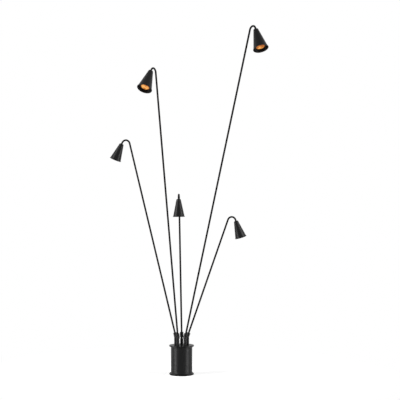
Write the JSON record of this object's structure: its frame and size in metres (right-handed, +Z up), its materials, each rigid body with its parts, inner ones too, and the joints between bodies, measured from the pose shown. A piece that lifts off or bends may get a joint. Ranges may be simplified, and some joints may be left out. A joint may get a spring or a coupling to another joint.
{
  "type": "floor lamp",
  "caption": "Floor lamp with thin hooked stems of different heights fanning from knuckle joints on a weighted spool base, each ending in a small conical shade.",
  "frame": {"origin": "centre of the foot, on the floor", "axes": "+Z up, -Y is the front, from which the tallest stem leans to the right (+X)"},
  "size_m": [0.7783, 0.5514, 1.6937],
  "materials": {
    "black_paint": "satin",
    "iron": "matte",
    "zinc_steel": "satin",
    "felt": "matte",
    "black_plastic": "matte",
    "ivory_plastic": "matte",
    "brass": "satin",
    "ceramic": "matte",
    "amber_glass": "gloss"
  },
  "bodies": {
    "base": {"base_shell": "black_paint", "bottom_plate": "black_paint", "foot_pad": "felt", "ballast": "iron", "tie_bolt": "zinc_steel", "top_plate": "black_paint", "retainer_plate": "zinc_steel", "retainer_screws": "zinc_steel", "terminal_block": "ivory_plastic", "earth_screw": "brass", "inlet_bush": "black_plastic"},
    "swivel_low_left": {"post_low_left": "black_paint"},
    "arm_low_left": {"clevis_low_left": "black_paint", "pivot_screws_low_left": "black_paint", "stem_low_left": "black_paint", "shade_low_left": "black_paint", "shade_nut_low_left": "zinc_steel", "lamp_holder_low_left": "ceramic", "bulb_low_left": "amber_glass", "baffle_ring_low_left": "black_paint"},
    "swivel_tall_left": {"post_tall_left": "black_paint"},
    "arm_tall_left": {"clevis_tall_left": "black_paint", "pivot_screws_tall_left": "black_paint", "stem_tall_left": "black_paint", "shade_tall_left": "black_paint", "shade_nut_tall_left": "zinc_steel", "lamp_holder_tall_left": "ceramic", "bulb_tall_left": "amber_glass", "baffle_ring_tall_left": "black_paint"},
    "swivel_middle": {"post_middle": "black_paint"},
    "arm_middle": {"clevis_middle": "black_paint", "pivot_screws_middle": "black_paint", "stem_middle": "black_paint", "shade_middle": "black_paint", "shade_nut_middle": "zinc_steel", "lamp_holder_middle": "ceramic", "bulb_middle": "amber_glass", "baffle_ring_middle": "black_paint"},
    "swivel_tall_right": {"post_tall_right": "black_paint"},
    "arm_tall_right": {"clevis_tall_right": "black_paint", "pivot_screws_tall_right": "black_paint", "stem_tall_right": "black_paint", "shade_tall_right": "black_paint", "shade_nut_tall_right": "zinc_steel", "lamp_holder_tall_right": "ceramic", "bulb_tall_right": "amber_glass", "baffle_ring_tall_right": "black_paint"},
    "swivel_low_right": {"post_low_right": "black_paint"},
    "arm_low_right": {"clevis_low_right": "black_paint", "pivot_screws_low_right": "black_paint", "stem_low_right": "black_paint", "shade_low_right": "black_paint", "shade_nut_low_right": "zinc_steel", "lamp_holder_low_right": "ceramic", "bulb_low_right": "amber_glass", "baffle_ring_low_right": "black_paint"}
  },
  "joints": [
    {"name": "low_left_swivel", "type": "hinge", "parent": "base", "child": "swivel_low_left", "pos_m": [-0.02948, 0.00958, 0.147], "axis": [0, 0, 1], "range_deg": [-15, 15]},
    {"name": "low_left_tilt", "type": "hinge", "parent": "swivel_low_left", "child": "arm_low_left", "pos_m": [-0.02948, 0.00958, 0.1895], "axis": [-0.309, -0.9511, 0], "range_deg": [-6, 30]},
    {"name": "tall_left_swivel", "type": "hinge", "parent": "base", "child": "swivel_tall_left", "pos_m": [-0.01822, -0.02508, 0.147], "axis": [0, 0, 1], "range_deg": [-15, 15]},
    {"name": "tall_left_tilt", "type": "hinge", "parent": "swivel_tall_left", "child": "arm_tall_left", "pos_m": [-0.01822, -0.02508, 0.1895], "axis": [0.866, -0.5, 0], "range_deg": [-2, 20]},
    {"name": "middle_swivel", "type": "hinge", "parent": "base", "child": "swivel_middle", "pos_m": [0, 0.031, 0.147], "axis": [0, 0, 1], "range_deg": [-15, 15]},
    {"name": "middle_tilt", "type": "hinge", "parent": "swivel_middle", "child": "arm_middle", "pos_m": [0, 0.031, 0.1895], "axis": [0.9694, -0.2453, 0], "range_deg": [-30, 2]},
    {"name": "tall_right_swivel", "type": "hinge", "parent": "base", "child": "swivel_tall_right", "pos_m": [0.01822, -0.02508, 0.147], "axis": [0, 0, 1], "range_deg": [-15, 15]},
    {"name": "tall_right_tilt", "type": "hinge", "parent": "swivel_tall_right", "child": "arm_tall_right", "pos_m": [0.01822, -0.02508, 0.1895], "axis": [0.6691, 0.7431, 0], "range_deg": [-4, 20]},
    {"name": "low_right_swivel", "type": "hinge", "parent": "base", "child": "swivel_low_right", "pos_m": [0.02948, 0.00958, 0.147], "axis": [0, 0, 1], "range_deg": [-15, 15]},
    {"name": "low_right_tilt", "type": "hinge", "parent": "swivel_low_right", "child": "arm_low_right", "pos_m": [0.02948, 0.00958, 0.1895], "axis": [-0.309, 0.9511, 0], "range_deg": [-6, 30]}
  ]
}
